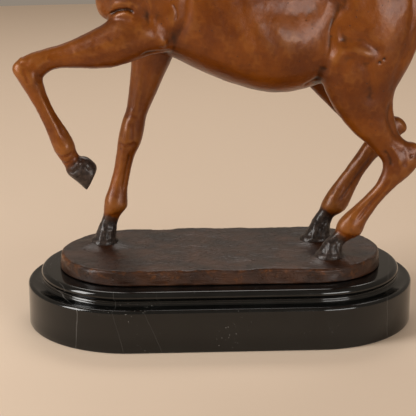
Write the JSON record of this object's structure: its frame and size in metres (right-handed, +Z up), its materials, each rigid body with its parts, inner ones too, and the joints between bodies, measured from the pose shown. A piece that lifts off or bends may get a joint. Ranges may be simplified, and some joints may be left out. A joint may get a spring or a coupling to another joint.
{
  "type": "bronze horse sculpture on a marble plinth",
  "caption": "Bronze horse stepping out with a raised foreleg, cast in one with its oval ground, on a black marble plinth with a moulded upper tier.",
  "frame": {"origin": "centre of the marble plinth's underside", "axes": "+Z up, the plinth's long side along X, the horse faces -X and its near (left) side is -Y"},
  "size_m": [0.3611, 0.1494, 0.4154],
  "materials": {
    "bronze": "brown lacquered patina",
    "marble": "polished black marble with thin white veins"
  },
  "bodies": {
    "root": {"bronze_horse": "bronze", "marble_plinth": "marble"}
  },
  "joints": []
}
